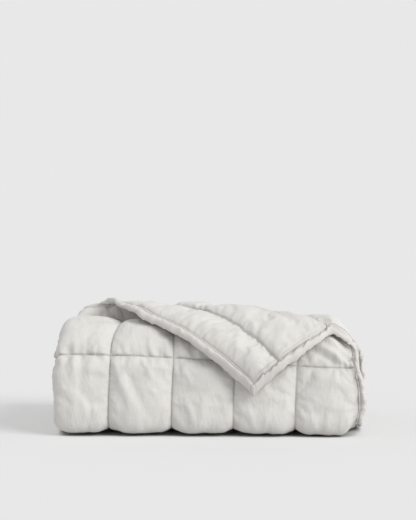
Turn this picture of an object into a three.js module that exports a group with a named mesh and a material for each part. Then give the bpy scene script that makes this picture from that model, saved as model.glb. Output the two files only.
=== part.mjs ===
// A toddler quilt, folded in half across its width and then twice along its length,
// with the back right corner of its top layer turned over and hanging down the front.
// Millimetres. +X is the quilt's right in the front view, -Y is the front, +Z is up,
// and the origin is on the floor under the middle of the folded quilt.
import * as THREE from "three";

// ---------- driving dimensions ----------
const FLAT_WIDTH = 914.4; // 36 in, across the ten columns
const FLAT_LENGTH = 1270; // 50 in, along the rows
const BINDING = 12.7; // finished width of the bound edge
const COLUMN = 88.9; // pitch of the lengthwise quilting lines
const ROW = 114.3; // pitch of the crosswise quilting lines
const END_ROW = 50.8; // short row next to each end
const COLUMNS = 10;
const ROWS = 10;
const GAP = 0.4; // between the quilted body and its binding

const HALF_LOFT = 10; // half the thickness in the middle of a puffed cell
const HALF_SEAM = 4; // half the thickness where the three layers are stitched
const HALF_EDGE = 3; // half the thickness at the outer edge of the binding
const LAYER_GAP = 0.7; // left at each face of a layer that lies on another
const PUFF_RUN = 26; // a cell rises from its seam to full loft over this length

const LEFT_FOLD_X = -222; // middle of the cloth at the left fold
const WIDTH_TAKE_UP = 0.99; // the puffing draws the width in
const TOP_END_Y = 292; // end hem on top, measured back from the front face
const BACK_Y = 345; // back fold
const RIGHT_DROP = 0.915; // height of the stack at the hems over that at the fold
const DROP_FROM_X = -200;
const DROP_TO_X = 224;
const SHIFT_X = 0.5; // puts the origin under the middle of the bounding box
const SHIFT_Y = -163.85;

// One row for each stretch of the doubled cloth, starting at the end hem on top and
// going forward, down the front, back along the floor, up the back fold, forward
// inside, round the inner fold and back to the other end hem.
//  run    length along the middle of the doubled cloth
//  turn   how far it turns, in degrees, anticlockwise seen from the right
//  thick  thickness of the doubled cloth at the end of the stretch
//  outer  1 where the seams are measured on the outer layer, 0 on the middle
const TOP_CORNER = 51;
const BOTTOM_CORNER = 17;
const THICK = { floor: 34, floorFold: 32, inner: 38, innerTop: 42, top: 48 };
const LAYERS_UNDER_TOP = THICK.floor + THICK.inner + THICK.innerTop;
const TOP_Z = LAYERS_UNDER_TOP + THICK.top / 2;
const WALL = TOP_Z - TOP_CORNER - THICK.floor / 2 - BOTTOM_CORNER;
const WALL_LEAN = Math.atan2((THICK.top - THICK.floorFold) / 2, WALL);
const LEAN_DEG = (WALL_LEAN * 180) / Math.PI;
const CORNER_Y = THICK.top / 2 + TOP_CORNER;
const FRONT_RUN = (WALL + (TOP_CORNER - BOTTOM_CORNER) * Math.sin(WALL_LEAN)) / Math.cos(WALL_LEAN);
const FLOOR_Y = CORNER_Y - (TOP_CORNER - BOTTOM_CORNER) * Math.cos(WALL_LEAN) - FRONT_RUN * Math.sin(WALL_LEAN);
const BACK_FOLD = (THICK.floor + THICK.inner) / 4;
const BACK_FOLD_Y = BACK_Y - BACK_FOLD - THICK.floor / 2;
const INNER_FOLD = (THICK.inner + THICK.innerTop) / 4;
const INNER_FOLD_Y = 52 + INNER_FOLD + THICK.innerTop / 2;
const ROUTE = [
  { name: "top", run: TOP_END_Y - CORNER_Y, turn: 0, thick: THICK.top, outer: 1 },
  { name: "top corner", run: TOP_CORNER * (Math.PI / 2 - WALL_LEAN), turn: 90 - LEAN_DEG, thick: THICK.top, outer: 1 },
  { name: "front", run: FRONT_RUN, turn: 0, thick: THICK.floorFold, outer: 1 },
  { name: "floor corner", run: BOTTOM_CORNER * (Math.PI / 2 + WALL_LEAN), turn: 90 + LEAN_DEG, thick: THICK.floor, outer: 1 },
  { name: "floor", run: BACK_FOLD_Y - FLOOR_Y, turn: 0, thick: THICK.floor, outer: 1 },
  { name: "back fold", run: BACK_FOLD * Math.PI, turn: 180, thick: THICK.inner, outer: 1 },
  { name: "inside", run: BACK_FOLD_Y - INNER_FOLD_Y, turn: 0, thick: THICK.inner, outer: 0 },
  { name: "inner fold", run: INNER_FOLD * Math.PI, turn: -180, thick: THICK.innerTop, outer: 0 },
  { name: "inside top", run: 500, turn: 0, thick: THICK.innerTop, outer: 0 },
];

// The turned-over corner. The cloth leaves the top along a slanting line from the
// right hem to the left end of the end hem, rolls over and comes to lie on itself.
const CREASE = { rightX: 226, rightY: 16, leftX: -205, leftY: TOP_END_Y };
const ROLL_RIGHT = 13; // radius of the roll, to the middle of the cloth
const ROLL_LEFT = 12;
const FLAP_HEIGHT = 24; // middle of the flap above the middle of the layer under it
const FLAP_SETTLE = 65; // it comes down to that height over this distance
const FLAP_EASE = 80; // the shear below comes in over this distance
const SIDE_PULL = 7; // the side hem is drawn in where it rolls
// Shear of the loose cloth: one row for each term, in mm for 100 mm of travel.
//  along  power of the distance along the crease, off  power of the distance from it
const SHEAR = [
  { along: 0, off: 0, x: 38.5, y: -20.6 },
  { along: 1, off: 0, x: -12.1, y: -49.8 },
  { along: 0, off: 1, x: -10.0, y: -2.8 },
  { along: 2, off: 0, x: -8.75, y: -1.95 },
  { along: 1, off: 1, x: 2.7, y: 8.75 },
  { along: 0, off: 2, x: 12.5, y: -1.1 },
];

// ---------- helpers ----------
const clamp = (x, a, b) => Math.min(Math.max(x, a), b);
const ease = (a, b, x) => {
  const t = clamp((x - a) / (b - a), 0, 1);
  return t * t * (3 - 2 * t);
};

// ---------- the route of the doubled cloth in the plane of Y and Z ----------
const route = [];
const mark = {};
{
  let v = 0, y = TOP_END_Y, z = TOP_Z, g = 180, thick = THICK.top;
  route.push({ v, y, z, g, thick });
  for (const row of ROUTE) {
    mark[row.name] = v;
    const n = Math.max(Math.floor(row.run), 8);
    const from = thick;
    for (let i = 0; i < n; i++) {
      const dg = row.turn / n, ds = row.run / n;
      const mid = ((g + dg / 2) * Math.PI) / 180;
      y += ds * Math.cos(mid);
      z += ds * Math.sin(mid);
      g += dg;
      thick = from + ((row.thick - from) * (i + 1)) / n;
      v += ds + ((row.outer * thick) / 4) * Math.abs((dg * Math.PI) / 180);
      route.push({ v, y, z, g, thick });
    }
  }
}
function onRoute(v) {
  if (v <= 0) return { ...route[0], y: route[0].y - v };
  let a = 0, b = route.length - 1;
  while (b - a > 1) {
    const m = (a + b) >> 1;
    if (route[m].v <= v) a = m;
    else b = m;
  }
  const p = route[a], q = route[b];
  const t = clamp((v - p.v) / (q.v - p.v), 0, 1);
  const mix = (k) => p[k] + (q[k] - p[k]) * t;
  return { v, y: mix("y"), z: mix("z"), g: mix("g"), thick: mix("thick") };
}

// ---------- the turned-over corner, in plan ----------
const crease = (() => {
  const dx = CREASE.leftX - CREASE.rightX, dy = CREASE.leftY - CREASE.rightY;
  const long = Math.hypot(dx, dy);
  return { long, tx: dx / long, ty: dy / long, nx: dy / long, ny: -dx / long };
})();
function creaseCoordinates(x, y) {
  const dx = x - CREASE.rightX, dy = y - CREASE.rightY;
  const off = dx * crease.nx + dy * crease.ny;
  const along = dx * crease.tx + dy * crease.ty;
  const roll = ROLL_RIGHT + (ROLL_LEFT - ROLL_RIGHT) * clamp(along / crease.long, 0, 1);
  return { off, along, roll };
}
// Plan place and height above the middle of the layer for a point of the top layer.
function turnOver(x, y, w) {
  const { off, along, roll } = creaseCoordinates(x, y);
  const pull = SIDE_PULL * ease(90, 0, Math.abs(along)) * ease(-60, 0, off) * ease(150, 60, off);
  if (off <= 0) return { x: x - pull, y, h: w };
  const angle = Math.min(off / roll, Math.PI);
  const past = Math.max(off - Math.PI * roll, 0);
  const reach = (roll - w) * Math.sin(angle) - past;
  let px = x + crease.nx * (reach - off), py = y + crease.ny * (reach - off);
  let h = roll - (roll - w) * Math.cos(angle);
  if (past > 0) h = FLAP_HEIGHT - w + (2 * roll - FLAP_HEIGHT) * Math.exp(-past / FLAP_SETTLE);
  const share = ease(0, FLAP_EASE, past);
  const a = past / 100, b = (along - 0.35 * crease.long) / 100;
  for (const s of SHEAR) {
    const k = share * b ** s.along * a ** s.off;
    px += k * s.x;
    py += k * s.y;
  }
  return { x: px - pull, y: py, h };
}

// ---------- the whole fold: flat cloth (u across, v along, w through) to its place ----------
// u is 0 on the left fold and positive on the outer layer; w is positive on its outside.
function planX(u, quarter) {
  const arc = (Math.PI * quarter) / 2;
  const straight = Math.max(Math.abs(u) - arc, 0);
  return { straight, even: 0.571 * (quarter - 10) * ease(20, 80, Math.abs(u)) };
}
function fold(u, v, w, out = new THREE.Vector3()) {
  let at = onRoute(v);
  const quarter = at.thick / 4;
  const bend = clamp(u / quarter, -Math.PI / 2, Math.PI / 2);
  const { straight, even } = planX(u, quarter);
  let off = (quarter + w) * Math.sin(bend);
  let x = LEFT_FOLD_X + WIDTH_TAKE_UP * (quarter - (quarter + w) * Math.cos(bend) + straight + even);
  if (u > 0 && straight > 0 && v < mark.front + 80) {
    const t = turnOver(x, TOP_END_Y - v, w);
    x = t.x;
    if (creaseOff(u, v) > 0) {
      const h = Math.max(t.h, 0);
      const outerCorner = TOP_CORNER + THICK.top / 4;
      const over = CORNER_Y - t.y;
      const span = (outerCorner + h) * (Math.PI / 2 - WALL_LEAN);
      const shrink = outerCorner / (outerCorner + h);
      const v2 = over <= 0 ? mark["top corner"] + over : over < span ? mark["top corner"] + over * shrink : mark.front + over - span;
      at = onRoute(v2);
      off = at.thick / 4 + t.h;
    }
  }
  const g = (at.g * Math.PI) / 180;
  const y = at.y + Math.sin(g) * off;
  let z = at.z - Math.cos(g) * off;
  if (z < 0.25) z = 0; // pressed flat where it rests
  z *= 1 - (1 - RIGHT_DROP) * ease(DROP_FROM_X, DROP_TO_X, x);
  return out.set(x + SHIFT_X, y + SHIFT_Y, z);
}
// How far a point of the flat cloth lies past the line where the cloth leaves the top.
function creaseOff(u, v) {
  const quarter = onRoute(v).thick / 4;
  const { straight, even } = planX(u, quarter);
  if (u <= 0 || straight <= 0) return -1;
  const x = LEFT_FOLD_X + WIDTH_TAKE_UP * (quarter + straight + even);
  return creaseCoordinates(x, TOP_END_Y - v).off;
}

// ---------- thickness of the quilted cloth ----------
const seamU = Array.from({ length: COLUMNS + 1 }, (_, i) => (i - COLUMNS / 2) * COLUMN);
const seamV = [BINDING, ...Array.from({ length: ROWS + 1 }, (_, i) => BINDING + END_ROW + i * ROW), FLAT_LENGTH - BINDING];
const toNearest = (list, x) => list.reduce((d, s) => Math.min(d, Math.abs(x - s)), 1e9);
const LAST_OUTER = mark["back fold"];
function half(u, v, outside) {
  const puff = Math.min(toNearest(seamU, u), toNearest(seamV, v), PUFF_RUN) / PUFF_RUN;
  const quarter = onRoute(v).thick / 4;
  // the outside of the outermost layer has nothing on it
  const room = outside && u > 0 && v < LAST_OUTER ? quarter : quarter - LAYER_GAP;
  return Math.min(HALF_SEAM + (HALF_LOFT - HALF_SEAM) * puff, room);
}

// ---------- mesh of a piece of the cloth ----------
// The flat cloth is cut into cells by its lines, and the cells by lines along the
// crease, so that the roll is smooth while the rest stays coarse.
const ROLL_STEPS = 7;
const SETTLE_LINES = [14, 34, 62];
function cutCell(corners) {
  let pieces = [corners];
  if (corners.every(([u, v]) => u <= LEFT_FOLD_LINES[3] || v > mark.front + 80)) return pieces;
  const levels = [];
  for (let i = 0; i <= ROLL_STEPS; i++) levels.push([(i * Math.PI) / ROLL_STEPS, 0]);
  for (const extra of SETTLE_LINES) levels.push([Math.PI, extra]);
  for (const [angle, extra] of levels) {
    const side = ([u, v]) => {
      const quarter = THICK.top / 4;
      const x = LEFT_FOLD_X + WIDTH_TAKE_UP * (quarter + Math.abs(u) - (Math.PI * quarter) / 2 + 0.571 * (quarter - 10));
      const c = creaseCoordinates(x, TOP_END_Y - v);
      const d = c.off - c.roll * angle - extra;
      return Math.abs(d) < 0.8 ? 0 : d;
    };
    const next = [];
    for (const piece of pieces) {
      const f = piece.map(side);
      if (f.every((d) => d >= 0) || f.every((d) => d <= 0)) {
        next.push(piece);
        continue;
      }
      const low = [], high = [];
      piece.forEach((p, i) => {
        const j = (i + 1) % piece.length, q = piece[j];
        if (f[i] <= 0) low.push(p);
        if (f[i] >= 0) high.push(p);
        if (f[i] * f[j] < 0) {
          // the same sum from either end, so that neighbours agree
          const flip = p[0] > q[0] || (p[0] === q[0] && p[1] > q[1]);
          const [a, b, fa, fb] = flip ? [q, p, f[j], f[i]] : [p, q, f[i], f[j]];
          const t = fa / (fa - fb);
          const cut = [a[0] + (b[0] - a[0]) * t, a[1] + (b[1] - a[1]) * t];
          low.push(cut);
          high.push(cut);
        }
      });
      if (low.length > 2) next.push(low);
      if (high.length > 2) next.push(high);
    }
    pieces = next;
  }
  return pieces;
}
function clothSolid(uLines, vLines, keep, thickness) {
  const points = [], index = new Map();
  const pointOf = ([u, v]) => {
    const key = Math.round(u * 1e4) + "," + Math.round(v * 1e4);
    if (!index.has(key)) {
      index.set(key, points.length);
      points.push([u, v]);
    }
    return index.get(key);
  };
  const polygons = [];
  for (let i = 0; i + 1 < uLines.length; i++)
    for (let j = 0; j + 1 < vLines.length; j++) {
      const [u0, u1, v0, v1] = [uLines[i], uLines[i + 1], vLines[j], vLines[j + 1]];
      if (!keep((u0 + u1) / 2, (v0 + v1) / 2)) continue;
      for (const piece of cutCell([[u0, v0], [u1, v0], [u1, v1], [u0, v1]])) {
        const ids = piece.map(pointOf).filter((id, k, all) => id !== all[(k + 1) % all.length]);
        if (ids.length > 2) polygons.push(ids);
      }
    }
  const faces = [];
  for (const ids of polygons) {
    // a corner of the binding is split along its mitre
    let start = 0;
    if (ids.length === 4) {
      const [a, , c] = ids.map((id) => points[id]);
      const outer = (p) => Math.abs(p[0]) > FLAT_WIDTH / 2 - 0.01 && (p[1] < 0.01 || p[1] > FLAT_LENGTH - 0.01);
      if (!outer(a) && !outer(c) && ids.some((id) => outer(points[id]))) start = 1;
    }
    for (let k = 1; k + 1 < ids.length; k++)
      faces.push([ids[start], ids[(start + k) % ids.length], ids[(start + k + 1) % ids.length]]);
  }
  const position = [];
  const p = new THREE.Vector3();
  for (const outside of [true, false])
    for (const [u, v] of points) {
      fold(u, v, (outside ? 1 : -1) * thickness(u, v, outside), p);
      position.push(p.x, p.y, p.z);
    }
  const n = points.length;
  const triangles = [];
  const sides = new Map();
  for (const [a, b, c] of faces) {
    triangles.push(a, c, b, a + n, b + n, c + n);
    for (const [s, t] of [[a, b], [b, c], [c, a]]) {
      const back = t + "," + s;
      if (sides.has(back)) sides.delete(back);
      else sides.set(s + "," + t, [s, t]);
    }
  }
  // both pieces split a side at the same slant, so that they stay apart where it twists
  for (const [s, t] of sides.values()) {
    const [a, b] = [points[s], points[t]];
    if (a[0] + a[1] < b[0] + b[1]) triangles.push(s, t, t + n, s, t + n, s + n);
    else triangles.push(s, t, s + n, t, t + n, s + n);
  }
  const geometry = new THREE.BufferGeometry();
  geometry.setAttribute("position", new THREE.Float32BufferAttribute(position, 3));
  geometry.setIndex(triangles);
  geometry.computeVertexNormals();
  return geometry;
}

// ---------- the lines that cut the flat cloth ----------
// Places inside a cell as shares of its pitch; the outer layer is drawn finer.
const CELL_LINES = { outerLayer: [0.3, 0.7], innerLayer: [0.5], rows: [0.27, 0.73] };
const LEFT_FOLD_LINES = [4.5, 9, 13.5, 18, 30, 60];
const edgeU = FLAT_WIDTH / 2 - BINDING;
const uLines = [0];
for (let c = 0; c < COLUMNS / 2; c++) {
  const at = c * COLUMN;
  const inner = c === 0 ? LEFT_FOLD_LINES : CELL_LINES.outerLayer.map((s) => at + s * COLUMN);
  const under = c === 0 ? LEFT_FOLD_LINES : CELL_LINES.innerLayer.map((s) => at + s * COLUMN);
  uLines.push(...inner, ...under.map((s) => -s));
  if (c < COLUMNS / 2 - 1) uLines.push(at + COLUMN, -(at + COLUMN));
}
const vLines = [];
for (let r = 0; r + 1 < seamV.length; r++) {
  const [a, b] = [seamV[r], seamV[r + 1]];
  if (r > 0) vLines.push(a);
  const shares = b - a > 100 ? CELL_LINES.rows : [0.5];
  vLines.push(...shares.map((s) => a + s * (b - a)));
}
// extra lines round the bends; a line too near one of these gives way to it
const BEND_STEP = { "top corner": 15, "floor corner": 18, "back fold": 26, "inner fold": 30 };
const bendLines = [];
ROUTE.forEach((row, i) => {
  const step = BEND_STEP[row.name];
  if (!step) return;
  const a = mark[row.name], b = mark[ROUTE[i + 1].name];
  const n = Math.round(Math.abs(row.turn) / step);
  for (let k = 0; k <= n; k++) bendLines.push(a + ((b - a) * k) / n);
});
const rows = [...bendLines];
for (const v of vLines) if (toNearest(bendLines, v) > 5 && v < FLAT_LENGTH) rows.push(v);

const ascending = (list) => [...list].sort((a, b) => a - b);
const bodyU = ascending([...uLines, edgeU - GAP, -(edgeU - GAP)]);
const bodyV = ascending([...rows, BINDING + GAP, FLAT_LENGTH - BINDING - GAP]);
const ringU = ascending([...uLines, edgeU, -edgeU, FLAT_WIDTH / 2, -FLAT_WIDTH / 2]);
const ringV = ascending([...rows, BINDING, FLAT_LENGTH - BINDING, 0, FLAT_LENGTH]);

const inRing = (u, v) => Math.abs(u) > edgeU || v < BINDING || v > FLAT_LENGTH - BINDING;
const ringHalf = (u, v) => {
  const in_ = Math.min(FLAT_WIDTH / 2 - Math.abs(u), v, FLAT_LENGTH - v);
  return HALF_EDGE + (HALF_SEAM - HALF_EDGE) * clamp(in_ / BINDING, 0, 1);
};

// ---------- the pieces ----------
const cotton = new THREE.MeshStandardMaterial({ color: 0xdcd9d3, roughness: 0.9, metalness: 0 });
const edging = new THREE.MeshStandardMaterial({ color: 0xd6d2cb, roughness: 0.9, metalness: 0 });

const quilt = new THREE.Group();
const body = new THREE.Mesh(clothSolid(bodyU, bodyV, () => true, half), cotton);
body.name = "quilted_body";
const binding = new THREE.Mesh(clothSolid(ringU, ringV, inRing, ringHalf), edging);
binding.name = "binding";
quilt.add(body, binding);

export default quilt;
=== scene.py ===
import math
import bpy
import numpy as np
from mathutils import Vector, Matrix


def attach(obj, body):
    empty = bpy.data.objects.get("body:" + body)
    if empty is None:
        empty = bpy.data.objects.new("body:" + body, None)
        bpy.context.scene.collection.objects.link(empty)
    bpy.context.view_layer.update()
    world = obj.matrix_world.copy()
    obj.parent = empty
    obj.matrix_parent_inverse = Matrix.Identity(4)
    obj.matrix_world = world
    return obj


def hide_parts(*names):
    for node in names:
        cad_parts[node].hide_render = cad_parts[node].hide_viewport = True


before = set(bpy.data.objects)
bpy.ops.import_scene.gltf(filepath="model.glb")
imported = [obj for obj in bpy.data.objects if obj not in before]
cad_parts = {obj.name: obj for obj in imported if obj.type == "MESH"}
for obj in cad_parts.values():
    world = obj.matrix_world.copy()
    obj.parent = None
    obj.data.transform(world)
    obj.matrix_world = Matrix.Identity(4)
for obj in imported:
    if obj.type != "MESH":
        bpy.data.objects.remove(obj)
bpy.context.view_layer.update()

# =====================================================================
# The fold: from the flat quilt (u across, v along, w through) to its place.
# Millimetres here; meshes are made in metres.
# =====================================================================
WIDTH, LENGTH, BIND = 914.4, 1270.0, 12.7
COLUMN, ROW, END_ROW = 88.9, 114.3, 50.8
EDGE_U = WIDTH / 2 - BIND
SEAM_U = np.array([(i - 5) * COLUMN for i in range(11)])
SEAM_V = np.array([BIND] + [BIND + END_ROW + i * ROW for i in range(11)] + [LENGTH - BIND])

LEFT_FOLD_X, TAKE_UP, TOP_END_Y, BACK_Y = -222.0, 0.99, 292.0, 345.0
RIGHT_DROP, DROP_FROM, DROP_TO = 0.915, -200.0, 224.0
SHIFT_X, SHIFT_Y = 0.5, -163.85
R_TOP, R_BOT = 51.0, 17.0
T_FLOOR, T_FOLD, T_IN, T_INTOP, T_TOP = 34.0, 32.0, 38.0, 42.0, 48.0
TOP_Z = T_FLOOR + T_IN + T_INTOP + T_TOP / 2
WALL = TOP_Z - R_TOP - T_FLOOR / 2 - R_BOT
LEAN = math.atan2((T_TOP - T_FOLD) / 2, WALL)
CORNER_Y = T_TOP / 2 + R_TOP
FRONT_RUN = (WALL + (R_TOP - R_BOT) * math.sin(LEAN)) / math.cos(LEAN)
FLOOR_Y = CORNER_Y - (R_TOP - R_BOT) * math.cos(LEAN) - FRONT_RUN * math.sin(LEAN)
R_BACK = (T_FLOOR + T_IN) / 4
BACK_FOLD_Y = BACK_Y - R_BACK - T_FLOOR / 2
R_INNER = (T_IN + T_INTOP) / 4
INNER_FOLD_Y = 52 + R_INNER + T_INTOP / 2
#        name           run                                    turn  thickness at the end  seams measured on the outer layer
ROUTE = [
    ("top",          TOP_END_Y - CORNER_Y,                  0.0,                      T_TOP,   1),
    ("top corner",   R_TOP * (math.pi / 2 - LEAN),          90 - math.degrees(LEAN),  T_TOP,   1),
    ("front",        FRONT_RUN,                             0.0,                      T_FOLD,  1),
    ("floor corner", R_BOT * (math.pi / 2 + LEAN),          90 + math.degrees(LEAN),  T_FLOOR, 1),
    ("floor",        BACK_FOLD_Y - FLOOR_Y,                 0.0,                      T_FLOOR, 1),
    ("back fold",    R_BACK * math.pi,                      180.0,                    T_IN,    1),
    ("inside",       BACK_FOLD_Y - INNER_FOLD_Y,            0.0,                      T_IN,    0),
    ("inner fold",   R_INNER * math.pi,                     -180.0,                   T_INTOP, 0),
    ("inside top",   500.0,                                 0.0,                      T_INTOP, 0),
]
CREASE_R, CREASE_L = np.array([234.5, 12.5]), np.array([-207.5, TOP_END_Y])
ROLL_R, ROLL_L = 12.3, 7.6
FLAP_H, FLAP_SETTLE, FLAP_EASE, SIDE_PULL = 26.3, 37.0, 80.0, 9.6
#        along off   x      y   (mm for each 100 mm)
SHEAR = [(0, 0, 49.1, -21.9), (1, 0, -1.5, -50.5), (0, 1, -22.8, -4.1),
         (2, 0, -8.8, -2.3), (1, 1, -5.5, 11.9), (0, 2, 15.8, -0.4)]


def ease(a, b, x):
    t = np.clip((x - a) / (b - a), 0, 1)
    return t * t * (3 - 2 * t)


def bell(x, middle, width):
    return np.exp(-((x - middle) / width) ** 2)


def near(seams, x):
    """Distance to the nearest seam."""
    return np.abs(np.asarray(x)[..., None] - seams).min(-1)


FRONT_LIFT, FRONT_FREE, SQUARE = 3.2, 78.0, 3.4
LIFT_U, LIFT_Z = [0, 10, 20, 35, 48, 60, 74, 90], [0, 6.0, 10.5, 15.5, 15.5, 9.5, 3, 0]   # of the rolled corner's end
mark = {}


def make_route():
    v, y, z, g, t = 0.0, TOP_END_Y, TOP_Z, 180.0, T_TOP
    rows = [(v, y, z, g, t)]
    for name, run, turn, thick, outer in ROUTE:
        mark[name] = v
        n = max(int(run), 8)
        t0 = t
        for i in range(n):
            dg, ds = turn / n, run / n
            m = math.radians(g + dg / 2)
            y += ds * math.cos(m)
            z += ds * math.sin(m)
            g += dg
            t = t0 + (thick - t0) * (i + 1) / n
            v += ds + outer * t / 4 * abs(math.radians(dg))
            rows.append((v, y, z, g, t))
    return np.array(rows)


route = make_route()


def on_route(v):
    y, z, g, t = (np.interp(v, route[:, 0], route[:, k]) for k in (1, 2, 3, 4))
    return np.where(v < 0, route[0, 1] - v, y), z, np.radians(g), t


_d = CREASE_L - CREASE_R
CREASE_LONG = float(np.hypot(*_d))
CT = _d / CREASE_LONG
CN = np.array([CT[1], -CT[0]])


def crease_at(x, y):
    dx, dy = x - CREASE_R[0], y - CREASE_R[1]
    off, along = dx * CN[0] + dy * CN[1], dx * CT[0] + dy * CT[1]
    return off, along, ROLL_R + (ROLL_L - ROLL_R) * np.clip(along / CREASE_LONG, 0, 1)


def turn_over(x, y, w):
    off, along, roll = crease_at(x, y)
    pull = SIDE_PULL * ease(90, 0, np.abs(along)) * ease(-60, 0, off) * ease(150, 60, off)
    angle = np.clip(off / roll, 0, math.pi)
    past = np.maximum(off - math.pi * roll, 0)
    reach = (roll - w) * np.sin(angle) - past
    px, py = x + CN[0] * (reach - off), y + CN[1] * (reach - off)
    h = roll - (roll - w) * np.cos(angle)
    h = np.where(past > 0, FLAP_H - w + (2 * roll - FLAP_H) * np.exp(-past / FLAP_SETTLE), h)
    share = ease(0, FLAP_EASE, past)
    a, b = past / 100, (along - 0.35 * CREASE_LONG) / 100
    for i, j, sx, sy in SHEAR:
        k = share * b ** i * a ** j
        px = px + k * sx
        py = py + k * sy
    over = off > 0
    return np.where(over, px, x) - pull, np.where(over, py, y), np.where(over, h, w), off


def fold(u, v, w):
    """Arrays of flat coordinates in, an array of points (mm) out."""
    u, v, w = np.broadcast_arrays(np.asarray(u, float), np.asarray(v, float), np.asarray(w, float))
    y, z, g, t = on_route(v)
    q = t / 4
    bend = np.clip(u / q, -math.pi / 2, math.pi / 2)
    straight = np.maximum(np.abs(u) - math.pi * q / 2, 0)
    even = 0.571 * (q - 10) * ease(20, 80, np.abs(u))
    off = (q + w) * np.sin(bend)
    x = LEFT_FOLD_X + TAKE_UP * (q - (q + w) * np.cos(bend) + straight + even)
    top = (u > 0) & (straight > 0) & (v < mark["front"] + 80)
    px, py, h, away = turn_over(x, TOP_END_Y - v, w)
    x = np.where(top, px, x)
    use = top & (away > 0)
    hh = np.maximum(h, 0)
    corner = R_TOP + T_TOP / 4
    over = CORNER_Y - py
    span = (corner + hh) * (math.pi / 2 - LEAN)
    shrink = corner / (corner + hh)
    v2 = np.where(over <= 0, mark["top corner"] + over,
                  np.where(over < span, mark["top corner"] + over * shrink, mark["front"] + over - span))
    y2, z2, g2, t2 = on_route(v2)
    y, z, g = np.where(use, y2, y), np.where(use, z2, z), np.where(use, g2, g)
    off = np.where(use, t2 / 4 + h, off)
    Y = y + np.sin(g) * off
    Z = z - np.cos(g) * off
    Z = np.where(Z < 0.25, 0.0, Z)
    # the top sinks a little between the front and the back, at the left, where the rolled corner leaves it open
    turned = np.where(use, ease(0, 26, away), 0)
    dip = ease(-222, -185, x) * ease(130, 20, x) * ease(95, 150, Y) * ease(308, 262, Y)
    dip = dip + 1.0 * bell(x, -95, 60) * bell(Y, 130, 42) - 0.25 * bell(x, -98, 45) * bell(Y, 45, 26)
    Z = Z - 10.5 * np.clip(Z / 160, 0, 1) * dip * (1 - turned)
    Z = Z * (1 - (1 - RIGHT_DROP) * ease(DROP_FROM, DROP_TO, x))
    # the rolled corner stands up at its far end, and lies flatter beside it
    Z = Z + np.interp(u, LIFT_U, LIFT_Z) * ease(62, 8, v)
    x = x + 12.0 * ease(-125, -228, x) * ease(82, 160, Z)
    Z = Z - 7.5 * np.clip(Z / 150, 0, 1) ** 4 * bell(x, -105, 46) * ease(150, 230, Y) * ease(60, 110, u) * ease(8, 42, v)
    # the corner above the hems sags
    Z = Z - 12.5 * np.clip(Z / 155, 0, 1) ** 4 * ease(171, 206, x)
    x = x - 1.2 * ease(395, 443, np.abs(u)) * ease(457, 446, np.abs(u)) * ease(185, 215, v) * ease(440, 400, v)
    # the edge of the turned corner springs up, and its tip hangs a little short
    Z = Z + np.where(use, 8.5 * ease(34, 4, v) * bell(u, 125, 60) + 2.8 * ease(0, 40, away) * ease(140, 70, Z), 0)
    # the crosswise seam on the front runs down to the right
    Z = Z + (1.7 - 6.5 * ease(-215, 160, x) + 4.5 * ease(160, 215, x)) * bell(Z, 88, 40) * ease(80, 58, Y) * (1 - turned)
    # the cloth turns squarely where the front meets the floor
    zc = T_FLOOR / 2 + R_BOT
    dy, dz = FLOOR_Y - Y, zc - Z
    low = (dy > 0) & (dz > 0)
    r = np.hypot(dy, dz) + 1e-9
    p = SQUARE
    k = ((np.abs(dy) / r) ** p + (np.abs(dz) / r) ** p) ** (-1 / p)
    Y = np.where(low, FLOOR_Y - dy * k, Y)
    Z = np.where(low, np.maximum(zc - dz * k, 0), Z)
    # the stack stands on its middle: its front edge curves up clear of the floor
    front = ease(FRONT_FREE, 12, Y)
    right = ease(40, 215, x)
    lift = FRONT_LIFT * (1 - 0.85 * right)
    # the columns lean a little to the left on their way down
    x = x - ease(85, 60, Y) * (2.6 * ease(112, 30, Z) * ease(215, 150, x) * ease(-220, -175, x) + 2.2 * bell(x, -137, 45) * (1 - turned))
    x = x + 3.4 * ease(-185, -226, x) * ease(120, 98, Z) * ease(85, 60, Y)
    Z = Z + lift * (front + (1 - front) * ease(2, 45, Z)) - 1.85 * ease(2, 45, Z) * right
    Z = Z + np.where(u > 0, 3.4 * bell(near(SEAM_U, u), 0, 9) * bell(v, mark["floor corner"] + 12, 26), 0)
    Z = Z - 4.2 * bell(x, -136, 16) * ease(169, 184, Z)
    # at the bound edges the front's foot rounds up
    foot = ease(186, 224, x) * ease(100, 20, Y) * ease(48, 0, Z)
    x, Z = x - 4.5 * foot, Z + 18 * foot
    return np.stack([x + SHIFT_X, Y + SHIFT_Y, Z], -1)


# =====================================================================
# Thickness of the quilted cloth
# =====================================================================
HALF_SEAM, HALF_LOFT, LAYER_GAP = 3.4, 10.6, 0.7
CELL_U, CELL_V, CELL_END = 34, 44, 19          # steps across a column, a row and an end row
SIM_ROWS = 4


def rise(d, run, power=2.3):
    a = np.clip(d / run, 0, 1)
    return (1 - (1 - a) ** power) ** (1 / power)


def blur(a, times):
    for _ in range(times):
        for axis in (0, 1):
            p = np.concatenate([np.take(a, [0], axis), a, np.take(a, [-1], axis)], axis)
            n = a.shape[axis]
            a = (np.take(p, range(n), axis) + 2 * np.take(p, range(1, n + 1), axis) + np.take(p, range(2, n + 2), axis)) / 4
    return a


def parts_of(seams, counts):
    out = []
    for p, q, n in zip(seams[:-1], seams[1:], counts):
        out += list(p + (q - p) * np.arange(n) / n)
    return np.array(out + [seams[-1]])


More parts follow.
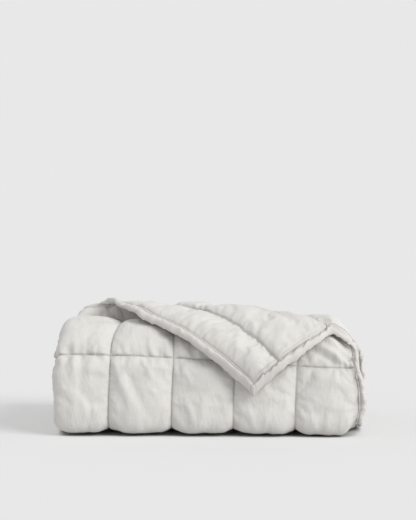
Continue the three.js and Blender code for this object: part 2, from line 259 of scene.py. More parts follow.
def seam_patch():
    """Five columns and four rows of face cloth, gathered along its seams: how far each point lies from the
    flat cloth, in mm. The seams are held, the cloth between them is longer than they are, and the filling
    presses it out, so it puckers along the seams."""
    su = np.arange(6) * COLUMN
    sv = np.concatenate([[0.0], END_ROW + np.arange(SIM_ROWS + 1) * ROW])
    lu = parts_of(su, [CELL_U] * 5)
    lv = parts_of(sv, [CELL_END] + [CELL_V] * SIM_ROWS)
    pu, pv = np.meshgrid(lu, lv, indexing="ij")
    du, dv = near(su, pu), near(sv, pv)
    noise = blur(np.random.default_rng(7).normal(size=pu.shape), 2)
    noise /= noise.std()
    dome = rise(du, 30) * rise(dv, 20)
    z = 4.5 * dome + 0.25 * noise * np.minimum(np.minimum(du, dv) / 6, 1)
    flat = np.stack([pu, pv, pu * 0], -1)
    size = 0.01                                   # the patch is simulated at ten times its size
    nu, nv = pu.shape
    pts = (np.stack([pu, pv, z], -1) * size).reshape(-1, 3)
    i, j = np.meshgrid(np.arange(nu - 1), np.arange(nv - 1), indexing="ij")
    c = (i * nv + j).ravel()
    m = bpy.data.meshes.new("patch")
    m.from_pydata(pts.tolist(), [], np.stack([c, c + nv, c + nv + 1, c + 1], -1).tolist())
    o = bpy.data.objects.new("patch", m)
    bpy.context.scene.collection.objects.link(o)
    seam = (np.minimum(du, dv) < 0.01).ravel()
    g = o.vertex_groups.new(name="held")
    g.add([int(k) for k in np.nonzero(seam)[0]], 1.0, "REPLACE")
    g.add([int(k) for k in np.nonzero(~seam)[0]], 0.003, "REPLACE")
    mod = o.modifiers.new("cloth", "CLOTH")
    st = mod.settings
    st.quality, st.mass = 5, 0.3
    st.tension_stiffness = st.compression_stiffness = st.shear_stiffness = 15
    st.bending_stiffness, st.bending_damping = 3.0, 0.5
    st.tension_damping = st.compression_damping = st.shear_damping = 5
    st.air_damping = 2
    st.vertex_group_mass, st.pin_stiffness = "held", 1.0
    st.shrink_min = st.shrink_max = -0.026
    st.effector_weights.gravity = 0
    st.use_pressure, st.uniform_pressure_force = True, 0.4
    mod.collision_settings.use_collision = False
    mod.collision_settings.use_self_collision = False
    frames = 20
    mod.point_cache.frame_start, mod.point_cache.frame_end = 1, frames
    for f in range(1, frames + 1):
        bpy.context.scene.frame_set(f)
    shown = o.evaluated_get(bpy.context.evaluated_depsgraph_get())
    co = np.zeros(len(pts) * 3, np.float32)
    shown.data.vertices.foreach_get("co", co)
    bpy.data.objects.remove(o)
    bpy.data.meshes.remove(m)
    bpy.context.scene.frame_set(1)
    return co.reshape(nu, nv, 3).astype(float) / size - flat, dome


patch, patch_dome = seam_patch()
amount = blur(patch[..., 2], 14) / blur(patch_dome, 14)   # a smooth crown ...
patch_fold = patch[..., 2] - amount * patch_dome          # ... and the folds on it
amount /= np.median(amount[patch_dome > 0.98])
print("patch: folds", float(np.abs(patch_fold).max()), "sideways", float(np.abs(patch[..., :2]).max()), "crown", float(np.median(patch[..., 2][patch_dome > 0.98])))


def patch_at(u, v, side):
    """The simulated cloth at flat points of the quilt: (sideways u, sideways v, crown 0..1, folds).
    The front shows the patch as it came; the rest of the quilt takes its cells in another order."""
    col = np.clip(np.floor((u + EDGE_U) / COLUMN), 0, 9).astype(int)
    s = np.clip((u + EDGE_U - col * COLUMN) / COLUMN, 0, 1)
    vr = v - BIND - END_ROW
    end1, end2 = vr < 0, vr >= 10 * ROW
    row = np.clip(np.floor(vr / ROW), 0, 9).astype(int)
    t = np.clip((vr - row * ROW) / ROW, 0, 1)
    te = np.where(end2, 1 - np.clip((vr - 10 * ROW) / END_ROW, 0, 1), np.clip((v - BIND) / END_ROW, 0, 1))
    flip_u = (col < 5) ^ (side < 0)
    flip_v = (row >= SIM_ROWS) ^ (side < 0)
    pc = np.where(col >= 5, col - 5, 4 - col)
    pc = (pc + np.where(side < 0, 2, 0) + np.where(row >= SIM_ROWS, 1, 0)) % 5
    pr = (row + np.where(side < 0, 1, 0)) % SIM_ROWS
    s = np.where(flip_u, 1 - s, s)
    t = np.where(flip_v, 1 - t, t)
    end = end1 | end2
    gi = (pc + s) * CELL_U
    gj = np.where(end, te * CELL_END, CELL_END + (pr + t) * CELL_V)
    gi, gj = np.clip(gi, 0, 5 * CELL_U), np.clip(gj, 0, CELL_END + SIM_ROWS * CELL_V)
    i0, j0 = np.minimum(gi.astype(int), 5 * CELL_U - 1), np.minimum(gj.astype(int), CELL_END + SIM_ROWS * CELL_V - 1)
    fi, fj = gi - i0, gj - j0

    def get(a):
        return (a[i0, j0] * (1 - fi) * (1 - fj) + a[i0 + 1, j0] * fi * (1 - fj) + a[i0, j0 + 1] * (1 - fi) * fj + a[i0 + 1, j0 + 1] * fi * fj)

    su = get(patch[..., 0]) * np.where(flip_u, -1, 1)
    sv = get(patch[..., 1]) * np.where((flip_v & ~end) | end2, -1, 1)
    on_front = ease(165, 225, v) * ease(402, 372, v) * (side > 0)
    run_v = np.where((side < 0) & (u > 0) & (v > 38) & (v < SEAM_V[1]), 30, np.where((side < 0) & (u > 0) & (v >= SEAM_V[1]) & (v < 95), 12, 20))
    return su, sv, get(amount) * rise(near(SEAM_U, u), 30 - 12 * on_front) * rise(near(SEAM_V, v), run_v), get(patch_fold)


def room(u, v, side):
    """The half thickness that the layers lying on this one leave it."""
    q = on_route(v)[3] / 4
    free = (side > 0) & (u > 0) & (v < mark["back fold"])
    swell = 4.0 * (side > 0) * (u > 0) * bell(v, mark["back fold"] + 50, 45)
    over = crease_at(LEFT_FOLD_X + TAKE_UP * np.abs(u), TOP_END_Y - v)[0]
    swell = swell + 30.0 * (side < 0) * (u > 0) * (v < 290) * ease(6, 30, over)
    return np.where(free, 99.0, q - LAYER_GAP + swell)


def wave(x, length, seed):
    """Smooth seeded unevenness along a line, about -1..1."""
    k = np.random.default_rng(seed).normal(size=4096)
    p = np.asarray(x, float) / length
    i = np.floor(p).astype(int)
    f = p - i
    a, b, c, d = (k[(i + j) % 4096] for j in (-1, 0, 1, 2))
    f2, f3 = f * f, f * f * f
    return (a * (1 - 3 * f + 3 * f2 - f3) + b * (4 - 6 * f2 + 3 * f3) + c * (1 + 3 * f + 3 * f2 - 3 * f3) + d * f3) / 6 * 1.5


def puckers(u, v, side):
    """Short ridges that stand square to each seam and fade away from it; each side of a seam has its own."""
    total = np.zeros(u.shape)
    strong_row = np.where(side > 0, np.where(v < 350, 2.7, 0.6), 1.2)
    for seams, across, along, pitch, reach, high in ((SEAM_V, v, u, 4.2, 10.0, strong_row), (SEAM_U, u, v, 5.4, 6.5, 1.2)):
        k = np.abs(across[..., None] - seams).argmin(-1)
        d = across - seams[k]
        far = np.abs(d)
        which = 2 * k + (d > 0)
        # each ridge leans a little, and each seam has its own row of them
        p = along + 0.18 * far * np.where(which % 3 == 0, 1, -1) + 137.0 * which + 1900.0 * (side < 0)
        strong = 0.65 + 0.5 * wave(p, 31.0, 3)
        total = total + high * np.clip(strong, 0.15, 1.4) * wave(p, pitch, 5) * (1 - np.exp(-far / 1.6)) * np.exp(-far / reach)
    return total


#   folds drawn on the outer face: from (u, v) to (u, v), height, half width
DRAWN = [
    (92, 303, 131, 377, 2.3, 7.5), (104, 300, 143, 372, -1.3, 6.0),
    (134, 295, 149, 322, 1.3, 3.4), (150, 297, 141, 316, 1.2, 3.0), (141, 296, 143, 312, -1.0, 2.6), (144, 336, 156, 346, 1.0, 3.4),
    (52, 358, 64, 386, 0.8, 3.0), (70, 362, 64, 386, 0.7, 2.8), (61, 360, 64, 380, -0.5, 3.0),
    (35, 296, 36, 345, 0.9, 5.0), (46, 296, 48, 350, -0.9, 5.0), (60, 296, 61, 335, 0.7, 5.0),
    (24, 231, 139, 233, -1.8, 2.6), (20, 243, 84, 246, 0.7, 4.0),
    (190, 300, 205, 330, 0.9, 4.0), (196, 350, 214, 386, 1.1, 4.0), (226, 352, 217, 386, 1.0, 4.0), (245, 330, 258, 372, 0.9, 5.0),
    (283, 350, 300, 388, 1.1, 4.0), (320, 356, 309, 388, 1.0, 3.6), (335, 320, 345, 360, 0.8, 5.0),
    (418, 294, 418, 314, -1.6, 2.2), (412, 294, 411, 312, 1.0, 2.6), (424, 302, 440, 318, 1.2, 2.6), (428, 294, 442, 309, -0.8, 2.2),
    (372, 258, 441, 288, 3.6, 5.0), (364, 264, 420, 287, -3.4, 5.0), (384, 246, 443, 270, 2.6, 4.6), (390, 256, 440, 280, -1.6, 3.0),
    (372, 350, 386, 388, 1.0, 4.0), (405, 352, 396, 388, 0.9, 4.0), (420, 340, 432, 384, 0.8, 5.0),
]


def drawn_folds(u, v):
    total = np.zeros(u.shape)
    for u0, v0, u1, v1, high, wide in DRAWN:
        a, d = np.array([u0, v0], float), np.array([u1 - u0, v1 - v0], float)
        long = float(np.hypot(*d))
        t = ((u - a[0]) * d[0] + (v - a[1]) * d[1]) / long ** 2
        off = np.hypot(u - a[0] - np.clip(t, 0, 1) * d[0], v - a[1] - np.clip(t, 0, 1) * d[1])
        taper = np.sin(np.pi * np.clip(t, 0.08, 0.92)) ** 0.5
        total = total + high * taper * np.exp(-(off / wide) ** 2)
    return total


def tuck(u, v):
    """The front is drawn in behind the right-hand hem, above the crosswise seam."""
    a = np.abs(u)
    back = 5.5 * bell(a, 432, 13) * ease(188, 215, v) * ease(294, 262, v)
    forward = 5.0 * ease(438, 449, a) * ease(200, 235, v) * ease(420, 396, v)
    return (back - forward) * np.where(u > 0, -1, 1)


def fold_share(u, v, side):
    """How strongly the small folds show: the front is drawn smoother by the weight of the stack."""
    front = ease(150, 210, v) * (side > 0)
    near_seam = np.exp(-near(SEAM_V, v) / 14)
    calm = np.where(side < 0, 1 - 0.6 * np.exp(-near(SEAM_V, v) / 9), 1)
    return (1.2 * (1 - front) + front * (0.55 + 0.7 * near_seam) * (1 - 0.65 * ease(374, 392, v))) * calm


def face(u, v, side):
    """Flat coordinates of the quilt's face on one side: (u, v, w), with its folds."""
    u, v = np.broadcast_arrays(np.asarray(u, float), np.asarray(v, float))
    su, sv, low, fold_h = patch_at(u, v, np.full(u.shape, side))
    outer = (side > 0) & (u > -30) & (v < mark["back fold"])
    open_face = outer | ((side < 0) & (u > 0) & (v < 290))
    seam_h = HALF_SEAM - 1.2 * open_face
    crown = HALF_LOFT + 1.6 * open_face
    if side < 0:
        on_row, on_col = near(SEAM_V, v), near(SEAM_U, u)
        seam_h = seam_h + open_face * (6.0 * np.exp(-(on_col / 12) ** 2) * (1 - np.exp(-(on_row / 6) ** 2)) - 1.9 * np.exp(-(on_row / 3) ** 2))
    held = 1 - np.exp(-np.minimum(near(SEAM_U, u), near(SEAM_V, v)) / 2.0)
    if side > 0:
        low = low * (1 - 0.45 * (u > 0) * ease(195, 165, v))      # drawn flat where the corner is turned over
    limit = room(u, v, side)
    pressed = limit < 11
    crown = np.minimum(crown, limit - 0.3)
    h = seam_h + (crown - seam_h) * low + (fold_share(u, v, side) * fold_h + puckers(u, v, side)) * np.where(pressed, 0.5, 1)
    if side < 0:
        # on the turned corner the second row stands higher than the narrow one along the edge
        h = h + (u > 0) * np.where(v < SEAM_V[1], -3.2 * ease(30, 56, v) * ease(0, 6, SEAM_V[1] - v), 1.6 * ease(0, 9, v - SEAM_V[1]) * ease(175, 130, v))
    if side > 0:
        h = h + 1.3 * np.where(u > 0, drawn_folds(u, v), 0) * held * ease(400, 380, v)
        h = h + 0.3 * wave(u, 6.0, 61) * bell(v, 376, 12) * held * (u > 0)
        # the first seam leans to the right above the crosswise seam
        su = su + 12 * bell(u, COLUMN, 42) * ease(288, 215, v) * ease(120, 180, v)
    h = np.minimum(h, limit)
    return u + su, v + sv, side * np.maximum(h, 0.8) + tuck(u, v)


# =====================================================================
# Meshes
# =====================================================================
def new_mesh(name, points, faces, smooth=True):
    m = bpy.data.meshes.new(name)
    m.from_pydata((np.asarray(points) / 1000).tolist(), [], faces)
    m.validate()
    if smooth:
        m.polygons.foreach_set("use_smooth", [True] * len(m.polygons))
    o = bpy.data.objects.new(name, m)
    bpy.context.scene.collection.objects.link(o)
    return o


def spaced(stops):
    """Lines between stops: rows of (from, to, step)."""
    out = []
    for a, b, step in stops:
        n = max(int(round((b - a) / step)), 1)
        out += list(a + (b - a) * np.arange(n) / n)
    return np.array(out + [stops[-1][1]])


def grid_faces(nu, nv, start, turned):
    i, j = np.meshgrid(np.arange(nu - 1), np.arange(nv - 1), indexing="ij")
    a = (i * nv + j).ravel()
    q = np.stack([a, a + nv, a + nv + 1, a + 1], -1) + start
    return (q[:, ::-1] if turned else q).tolist()


def loop_of(nu, nv, us, vs, start):
    """The rim of a grid, point by point, with a place 0..4 along its four sides."""
    def t(x):
        return (x - x[0]) / (x[-1] - x[0])
    tu, tv = t(us), t(vs)
    out = [(tu[k], start + k * nv) for k in range(nu)]
    out += [(1 + tv[k], start + (nu - 1) * nv + k) for k in range(1, nv)]
    out += [(2 + 1 - tu[k], start + k * nv + nv - 1) for k in range(nu - 2, -1, -1)]
    out += [(3 + 1 - tv[k], start + k) for k in range(nv - 2, 0, -1)]
    return out


def closed_sheet(name, top_lines, bottom_lines, top, bottom):
    """A closed sheet from two grids of points, which may be spaced differently, and the rim between them."""
    (ua, va), (ub, vb) = top_lines, bottom_lines
    n = len(ua) * len(va)
    pts = np.concatenate([top.reshape(-1, 3), bottom.reshape(-1, 3)])
    faces = grid_faces(len(ua), len(va), 0, False) + grid_faces(len(ub), len(vb), n, True)
    A, B = loop_of(len(ua), len(va), ua, va, 0), loop_of(len(ub), len(vb), ub, vb, n)
    A.append((4.0, A[0][1]))
    B.append((4.0, B[0][1]))
    i = j = 0
    while i < len(A) - 1 or j < len(B) - 1:
        ta = A[i + 1][0] if i < len(A) - 1 else 9
        tb = B[j + 1][0] if j < len(B) - 1 else 9
        if abs(ta - tb) < 1e-9:
            faces.append((A[i][1], B[j][1], B[j + 1][1], A[i + 1][1]))
            i, j = i + 1, j + 1
        elif ta < tb:
            faces.append((A[i][1], B[j][1], A[i + 1][1]))
            i += 1
        else:
            faces.append((A[i][1], B[j][1], B[j + 1][1]))
            j += 1
    return new_mesh(name, pts, faces), n


GAP = 0.2
FU, FV = COLUMN / CELL_U, ROW / CELL_V
E = EDGE_U - GAP
ROW_V = BIND + END_ROW + np.arange(11) * ROW
U = spaced([(-E, -E + 12, 4), (-E + 12, -44, 10.2), (-44, -26, 4.5), (-26, 0, FU)])[:-1].tolist() + spaced([(0, E, FU)]).tolist()
U = np.sort(np.array(U + [x + d for x in SEAM_U[5:10] for d in (-1.1, 1.1)] + [EDGE_U - 1.1 - GAP]))
last = ROW_V[-1]
V_TOP = spaced([(BIND + GAP, BIND + END_ROW, END_ROW / CELL_END), (ROW_V[0], ROW_V[3], FV), (ROW_V[3], ROW_V[5], ROW / 9), (ROW_V[5], ROW_V[7], ROW / 12),
                (ROW_V[7], last, ROW / 8), (last, LENGTH - BIND - GAP - 8, 12), (LENGTH - BIND - GAP - 8, LENGTH - BIND - GAP, 4)])
V_BOT = spaced([(BIND + GAP, BIND + END_ROW, END_ROW / CELL_END), (ROW_V[0], ROW_V[2], FV), (ROW_V[2], last, ROW / 8),
                (last, LENGTH - BIND - GAP - 8, 12), (LENGTH - BIND - GAP - 8, LENGTH - BIND - GAP, 4)])
V_TOP = np.sort(np.concatenate([V_TOP, [x + d for x in SEAM_V[1:4] for d in (-1.1, 1.1)]]))
V_BOT = np.sort(np.concatenate([V_BOT, [x + d for x in SEAM_V[1:3] for d in (-1.1, 1.1)]]))
ut, vt = np.meshgrid(U, V_TOP, indexing="ij")
ub, vb = np.meshgrid(U, V_BOT, indexing="ij")
quilt, n_top = closed_sheet("quilted_cloth", (U, V_TOP), (U, V_BOT), fold(*face(ut, vt, 1)), fold(*face(ub, vb, -1)))
print("quilt triangles", sum(len(p.vertices) - 2 for p in quilt.data.polygons))


def flat_attribute(o, u, v, w):
    att = o.data.attributes.new("flat", "FLOAT_VECTOR", "POINT")
    att.data.foreach_set("vector", (np.stack([u, v, w], -1) / 1000).astype(np.float32).ravel())


flat_attribute(quilt, np.concatenate([ut.ravel(), ub.ravel()]), np.concatenate([vt.ravel(), vb.ravel()]),
               np.concatenate([np.full(ut.size, 6.0), np.full(ub.size, -6.0)]))

EDGE_IN = 3.2                                  # the edge rolls in by this much
TAPE = 9.9                                     # width of the tape that shows


def ring_path(step):
    """Points along the edge: the outer line and the tape's inner line, with mitred corners, and the run."""
    a, lo, hi = WIDTH / 2 - EDGE_IN, EDGE_IN, LENGTH - EDGE_IN
    sides = [((-a, lo), (a, lo)), ((a, lo), (a, hi)), ((a, hi), (-a, hi)), ((-a, hi), (-a, lo))]
    out, inner, run, total = [], [], [], 0.0

    def inside(p):
        return np.array([np.sign(p[0]) * (a - TAPE), lo + TAPE if p[1] == lo else hi - TAPE])

    for p, q in sides:
        p, q = np.array(p, float), np.array(q, float)
        ip, iq = inside(p), inside(q)
        long = float(np.hypot(*(q - p)))
        n = int(long / step)
        for k in range(n):
            out.append(p + (q - p) * k / n)
            inner.append(ip + (iq - ip) * k / n)
            run.append(total + long * k / n)
        total += long
    return np.array(out), np.array(inner), np.array(run)


def make_binding():
    outer, inner, run = ring_path(2.6)
    #  share of the width from the outer edge, half thickness; a row of stitching lies at 0.66
    section = [(1.0, 2.2), (0.95, 3.0), (0.84, 3.5), (0.74, 3.2), (0.66, 2.4), (0.58, 3.7), (0.42, 4.8), (0.25, 4.8), (0.11, 3.8), (0.03, 2.3)]
    rows = [(a, h, 1, k) for k, (a, h) in enumerate(section)] + [(0.0, 0.0, 1, 10)] + [(a, h, -1, k) for k, (a, h) in reversed(list(enumerate(section)))]
    pts, flat = [], []
    for share, h, side, k in rows:
        p = outer + (inner - outer) * share
        skew = run + 7 * share * side
        body = math.sin(math.pi * share / 0.66) if share < 0.66 else 0.8 * math.sin(math.pi * (share - 0.66) / 0.34)
        hem = (np.abs(p[:, 0]) > 440) * ease(215, 240, p[:, 1]) * ease(420, 350, p[:, 1])
        rough = 0.6 + 1.0 * hem + 0.6 * (np.abs(p[:, 0]) > 440) * ease(10, 40, p[:, 1]) * ease(215, 180, p[:, 1])
        hh = h + body * rough * (0.9 * wave(skew, 3.6, 31 + side) + 0.5 * wave(skew, 11, 41 + side))
        p = p + (inner - outer) * ((0.05 * wave(run, 9, 51) + 0.055 * hem * wave(run, 4.6, 57)) * (1 - share))[:, None]
        w = np.full(len(p), 1.0) * hh * side + tuck(p[:, 0], p[:, 1])
        pts.append(fold(p[:, 0], p[:, 1], w))
        flat.append(np.column_stack([p[:, 0], p[:, 1], w]))
    n, m = len(outer), len(rows)
    pts = np.concatenate(pts)
    flat = np.concatenate(flat)
    faces = []
    for s in range(m):
        s2 = (s + 1) % m
        for k in range(n):
            k2 = (k + 1) % n
            faces.append((s * n + k, s2 * n + k, s2 * n + k2, s * n + k2))
    o = new_mesh("binding_tape", pts, faces)
    flat_attribute(o, flat[:, 0], flat[:, 1], flat[:, 2])
    return o


binding = make_binding()


def make_stitches():
    """Rows of short stitches along the seams, where they show, and along the tape."""
    starts = []                                # (u, v, du, dv, side, height)
    pitch, length = 3.4, 2.3
    for side in (1, -1):
        for su in SEAM_U:
            for v in np.arange(BIND + 2, LENGTH - BIND - 2, pitch):
                starts.append((su, v, 0, length, side, 0))
        for sv in SEAM_V:
            for u in np.arange(-EDGE_U + 2, EDGE_U - 2, pitch):
                starts.append((u, sv, length, 0, side, 0))
    eu, ev = WIDTH / 2 - EDGE_IN - 0.66 * TAPE, EDGE_IN + 0.66 * TAPE
    for side in (1, -1):
        for v in np.arange(ev + 1, 700, pitch):
            starts.append((eu, v, 0, length, side, 2.45))
        for u in np.arange(20, eu - 1, pitch):
            starts.append((u, ev, length, 0, side, 2.45))
    a = np.array(starts, float)
    u, v, side = a[:, 0], a[:, 1], a[:, 4]
    shown = np.where(side > 0, (u > -30) & (v < mark["back fold"] + 60),
                     ((u > 0) & (v < 290)) | ((u <= 0) & (v < 290)))
    shown &= ~((v < 30) & (u > 20) & (u < 140))                   # inside the roll
    a = a[shown]
    pts, faces = [], []
    q = np.array([a[:, 0], a[:, 1]]).T
    d = a[:, 2:4]
    side = a[:, 4]
    outer = (side > 0) & (q[:, 0] > -30) & (q[:, 1] < mark["back fold"])
    open_face = outer | ((side < 0) & (q[:, 0] > 0) & (q[:, 1] < 290))
    seam_h = HALF_SEAM - 1.2 * open_face
    on_row, on_col = near(SEAM_V, q[:, 1]), near(SEAM_U, q[:, 0])
    seam_h = seam_h + np.where((side < 0) & open_face, 6.0 * np.exp(-(on_col / 12) ** 2) * (1 - np.exp(-(on_row / 6) ** 2)) - 1.9 * np.exp(-(on_row / 3) ** 2), 0)
    h = np.maximum(np.minimum(seam_h, room(q[:, 0], q[:, 1], side)), 0.8) + 0.25
    h = np.where(a[:, 5] > 0, a[:, 5] + 0.1, h)
    q[:, 0] += np.where(side > 0, 12 * bell(q[:, 0], COLUMN, 42) * ease(288, 215, q[:, 1]) * ease(120, 180, q[:, 1]), 0)
    across = np.column_stack([d[:, 1], d[:, 0]]) / length * 0.38
    rings = []
    for t, r, lift in ((0.0, 0.5, -0.3), (0.25, 1.0, 0.12), (0.75, 1.0, 0.12), (1.0, 0.5, -0.3)):
        c = q + d * t
        for k in range(4):
            ang = math.pi / 2 * k
            p = c + across * r * math.cos(ang)
            rings.append(fold(p[:, 0], p[:, 1], side * (h + lift + 0.3 * r * math.sin(ang)) + tuck(p[:, 0], p[:, 1])))
    rings = np.stack(rings, 1)                 # stitch, 16 points
    n = len(rings)
    base = (np.arange(n) * 16)[:, None]
    cell = []
    for r in range(3):
        for k in range(4):
            cell.append((r * 4 + k, r * 4 + (k + 1) % 4, r * 4 + 4 + (k + 1) % 4, r * 4 + 4 + k))
    cell += [(3, 2, 1, 0), (12, 13, 14, 15)]
    faces = (base[:, None, :] + np.array(cell)[None]).reshape(-1, 4)
    print("stitches", n, "triangles", n * 28)
    o = new_mesh("quilting_stitches", rings.reshape(-1, 3), faces.tolist())
    return o


stitches = make_stitches()


# =====================================================================
# Materials
# =====================================================================
def cloth_material(name, colour, coords, seam_shade=0.0, crumple=0.0, stitch_line_shade=False):
    """Washed plain-weave cotton: weave, slubs and fine creases in relief, a slightly uneven tone, and painted shade: a
    darker line where the cloth goes down into its seams, and along the tape's stitching. coords is the attribute with
    the flat cloth's coordinates."""
    m = bpy.data.materials.new(name)
    m.use_nodes = True
    nt = m.node_tree
    b = nt.nodes["Principled BSDF"]
    b.inputs["Sheen Weight"].default_value = 0.18
    b.inputs["Sheen Roughness"].default_value = 0.5
    b.inputs["Specular IOR Level"].default_value = 0.3

    def node(kind, **values):
        n = nt.nodes.new(kind)
        for k, value in values.items():
            if k in n.inputs:
                n.inputs[k].default_value = value
            else:
                setattr(n, k, value)
        return n

    def math_node(op, x, y=None, z=None):
        n = node("ShaderNodeMath", operation=op)
        for i, value in enumerate((x, y, z)):
            if value is None:
                continue
            if isinstance(value, (int, float)):
                n.inputs[i].default_value = value
            else:
                nt.links.new(value, n.inputs[i])
        return n.outputs[0]

    def ranged(value, a0, a1, b0, b1, smooth=True):
        n = node("ShaderNodeMapRange", interpolation_type="SMOOTHSTEP" if smooth else "LINEAR")
        nt.links.new(value, n.inputs["Value"])
        for k, x in zip(("From Min", "From Max", "To Min", "To Max"), (a0, a1, b0, b1)):
            n.inputs[k].default_value = x
        return n.outputs["Result"]

    def noise(scale, detail=3.0, rough=0.5, stretch=(1, 1, 1)):
        mp = node("ShaderNodeMapping")
        mp.inputs["Scale"].default_value = stretch
        nt.links.new(place, mp.inputs["Vector"])
        n = node("ShaderNodeTexNoise")
        n.inputs["Scale"].default_value = scale
        n.inputs["Detail"].default_value = detail
        n.inputs["Roughness"].default_value = rough
        nt.links.new(mp.outputs["Vector"], n.inputs["Vector"])
        return n.outputs["Fac"]

    if coords:
        place = node("ShaderNodeAttribute", attribute_name=coords).outputs["Vector"]
    else:
        place = node("ShaderNodeTexCoord").outputs["Object"]
    split = node("ShaderNodeSeparateXYZ")
    nt.links.new(place, split.inputs[0])
    su, sv, sw = split.outputs
    # weave: two sets of threads, 0.8 mm apart, each over and under the other
    thread_u = math_node("SINE", math_node("MULTIPLY", su, 2 * math.pi / 0.0016))
    thread_v = math_node("SINE", math_node("MULTIPLY", sv, 2 * math.pi / 0.0016))
    weave = math_node("MULTIPLY", thread_u, thread_v)
    # slubs: thicker bits of thread, long one way
    slub_u = noise(1.0, 2.0, 0.5, (70, 900, 300))
    slub_v = noise(1.0, 2.0, 0.5, (900, 70, 300))
    slubs = math_node("ADD", slub_u, slub_v)
    tone = noise(22.0, 4.0, 0.6)
    fine = noise(260.0, 3.0, 0.6)
    # tone
    light = math_node("MULTIPLY", ranged(tone, 0.3, 0.7, 0.972, 1.022), ranged(slubs, 0.75, 1.3, 1.012, 0.985))
    # painted shade: the colour is darkened where the cloth goes down into its seams and at the tape's edge
    if seam_shade:
        under = math_node("LESS_THAN", sw, 0.0)
        du = math_node("PINGPONG", math_node("ADD", su, COLUMN * 50 / 1000), COLUMN / 2000)
        dv = math_node("PINGPONG", math_node("ADD", sv, (ROW * 50 - BIND - END_ROW) / 1000), ROW / 2000)
        edge_v = math_node("ABSOLUTE", math_node("SUBTRACT", sv, BIND / 1000))
        d = math_node("MINIMUM", math_node("MINIMUM", math_node("ADD", du, under), math_node("SUBTRACT", dv, math_node("MULTIPLY", under, 0.0006))), edge_v)
        light = math_node("MULTIPLY", light, ranged(d, 0.0, 0.0026, 1 - seam_shade, 1.0))
        # painted shade, stronger, along the crosswise seams of the under face
        line = math_node("ADD", dv, math_node("SUBTRACT", 1.0, under))
        light = math_node("MULTIPLY", light, ranged(line, 0.0003, 0.0019, 0.82, 1.0))
    # painted shade: the tape is darkened along its row of stitching and on the strip inside it, where it dips next to
    # the quilt; only faintly from the front wall on
    if stitch_line_shade:
        au = math_node("ABSOLUTE", su)
        line_u, line_v = (WIDTH / 2 - EDGE_IN - 0.66 * TAPE) / 1000, (EDGE_IN + 0.66 * TAPE) / 1000
        d = math_node("MINIMUM", math_node("ABSOLUTE", math_node("SUBTRACT", au, line_u)), math_node("ABSOLUTE", math_node("SUBTRACT", sv, line_v)))
        wall = ranged(sv, 0.22, 0.27, 0.0, 1.0)
        light = math_node("MULTIPLY", light, math_node("MAXIMUM", ranged(d, 0.0, 0.0013, 0.74, 1.0), math_node("MULTIPLY", wall, 0.9)))
        past = math_node("MAXIMUM", math_node("SUBTRACT", au, line_u), math_node("SUBTRACT", line_v, sv))
        light = math_node("MULTIPLY", light, math_node("MAXIMUM", ranged(past, -0.0004, 0.0004, 0.88, 1.0), math_node("MULTIPLY", wall, 0.99)))
    mix = node("ShaderNodeMix", data_type="RGBA", blend_type="MIX")
    mix.inputs[6].default_value = (0.0, 0.0, 0.0, 1)
    mix.inputs[7].default_value = (*[min(c * 1.06, 1) for c in colour], 1)
    nt.links.new(math_node("MULTIPLY", light, 1 / 1.06), mix.inputs[0])
    nt.links.new(mix.outputs[2], b.inputs["Base Color"])
    nt.links.new(ranged(fine, 0.3, 0.7, 0.84, 0.95), b.inputs["Roughness"])
    # relief
    height = math_node("ADD", math_node("MULTIPLY", weave, 0.00006), math_node("MULTIPLY", slubs, 0.0001))
    if crumple:
        big = noise(75.0, 3.0, 0.55, (1.0, 0.55, 1.0))
        small = noise(210.0, 2.0, 0.5, (1.0, 0.6, 1.0))
        height = math_node("ADD", height, math_node("ADD", math_node("MULTIPLY", big, 0.0022 * crumple), math_node("MULTIPLY", small, 0.0007 * crumple)))
    bump = node("ShaderNodeBump")
    bump.inputs["Strength"].default_value = 1.0
    bump.inputs["Distance"].default_value = 1.0
    nt.links.new(height, bump.inputs["Height"])
    nt.links.new(bump.outputs["Normal"], b.inputs["Normal"])
    return m


# the fourth number is how deep the painted seam shade goes; the tape's True turns on its painted shade along the
# stitching
cloth = cloth_material("quilt_cotton", (0.575, 0.563, 0.536), "flat", 0.17, 0.8)
tape = cloth_material("binding_cotton", (0.565, 0.547, 0.524), "flat", 0.0, 0.6, True)
thread = cloth_material("sewing_thread", (0.47, 0.458, 0.432), None)
quilt.data.materials.append(cloth)
binding.data.materials.append(tape)
stitches.data.materials.append(thread)

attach(quilt, "root")
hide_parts("quilted_body")
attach(binding, "root")
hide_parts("binding")
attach(stitches, "root")

# =====================================================================
# Floor, light, camera
# =====================================================================
def make_floor():
    r, n = 60.0, 64
    pts = [(0, 0, -0.0002)] + [(r * math.cos(2 * math.pi * k / n), r * math.sin(2 * math.pi * k / n), -0.0002) for k in range(n)]
    me = bpy.data.meshes.new("studio_floor")
    me.from_pydata(pts, [], [(0, 1 + k, 1 + (k + 1) % n) for k in range(n)])
    o = bpy.data.objects.new("studio_floor", me)
    bpy.context.scene.collection.objects.link(o)
    m = bpy.data.materials.new("studio_paper")
    m.use_nodes = True
    b = m.node_tree.nodes["Principled BSDF"]
    b.inputs["Base Color"].default_value = (FLOOR_ALBEDO, FLOOR_ALBEDO, FLOOR_ALBEDO, 1)
    b.inputs["Roughness"].default_value = 1.0
    b.inputs["Specular IOR Level"].default_value = 0.0
    b.inputs["Emission Color"].default_value = (1, 1, 1, 1)
    # the paper's glow stands for the light of the room, so it fails under the object
    nt = m.node_tree
    ao = nt.nodes.new("ShaderNodeAmbientOcclusion")
    ao.samples = 16
    ao.inputs["Distance"].default_value = 0.12
    ramp = nt.nodes.new("ShaderNodeFloatCurve")
    points = ramp.mapping.curves[0].points
    for x, y in ((0.22, 0.0), (0.42, 0.27), (0.75, 0.25)):
        points.new(x, y)
    points[0].location, points[-1].location = (0, 0), (1, FLOOR_GLOW)
    for p in points:
        p.handle_type = "VECTOR"
    ramp.mapping.update()
    nt.links.new(ao.outputs["AO"], ramp.inputs["Value"])
    nt.links.new(ramp.outputs["Value"], b.inputs["Emission Strength"])
    me.materials.append(m)


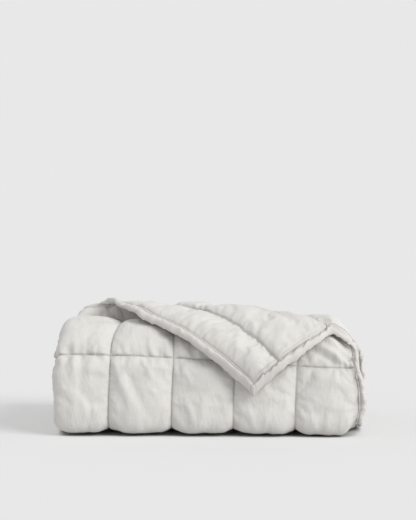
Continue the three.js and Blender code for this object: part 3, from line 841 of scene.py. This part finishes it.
# an even white studio: the floor and what is round it read as one pale grey
ROOM_LIGHT = 0.807
SUN_FROM, SUN_STRENGTH, SUN_ANGLE = Vector((0.70, -0.50, 0.55)), 2.25, 34.0
FLOOR_GLOW = 0.22
FLOOR_ALBEDO = (0.807 - FLOOR_GLOW) / (ROOM_LIGHT + SUN_STRENGTH / math.pi * SUN_FROM.normalized().z)
make_floor()
sun = bpy.data.lights.new("soft_key", "SUN")
sun.energy, sun.angle = SUN_STRENGTH, math.radians(SUN_ANGLE)
key = bpy.data.objects.new("soft_key", sun)
key.rotation_euler = (-SUN_FROM).to_track_quat("-Z", "Y").to_euler()
bpy.context.scene.collection.objects.link(key)
world = bpy.data.worlds.new("studio")
bpy.context.scene.world = world
world.use_nodes = True
world.node_tree.nodes["Background"].inputs["Color"].default_value = (1, 1, 1, 1)
world.node_tree.nodes["Background"].inputs["Strength"].default_value = ROOM_LIGHT


def make_camera(target, elevation, yaw, distance, scale, cx, cy):
    """Camera that puts target at pixel (cx, cy) of the 416 x 520 frame, with scale mm to a pixel there."""
    e, a = math.radians(elevation), math.radians(yaw)
    f = Vector((-math.sin(a) * math.cos(e), math.cos(a) * math.cos(e), -math.sin(e)))
    cam = bpy.data.cameras.new("camera")
    o = bpy.data.objects.new("camera", cam)
    bpy.context.scene.collection.objects.link(o)
    cam.sensor_fit = "HORIZONTAL"
    cam.sensor_width = 36.0
    # angles of the target from the middle of the frame
    focal_px = distance * 1000 / scale
    ax = math.atan((cx - 208) / focal_px)
    ay = math.atan((cy - 260) / focal_px)
    focal_px *= math.cos(ay) ** 0
    cam.lens = 36.0 * focal_px / 416
    cam.clip_end = 50
    o.location = Vector(target) - f * distance
    look = f.to_track_quat("-Z", "Y").to_matrix()
    turn = Matrix.Rotation(ay, 3, "X") @ Matrix.Rotation(ax, 3, "Y")
    o.rotation_euler = (look @ turn).to_euler()
    bpy.context.scene.camera = o
    return o


make_camera((0.0005, -0.16385, 0.095), 6.0, 1.5, 2.6, 1.42, 209.4, 370.5)
bpy.context.scene.view_settings.view_transform = "Standard"
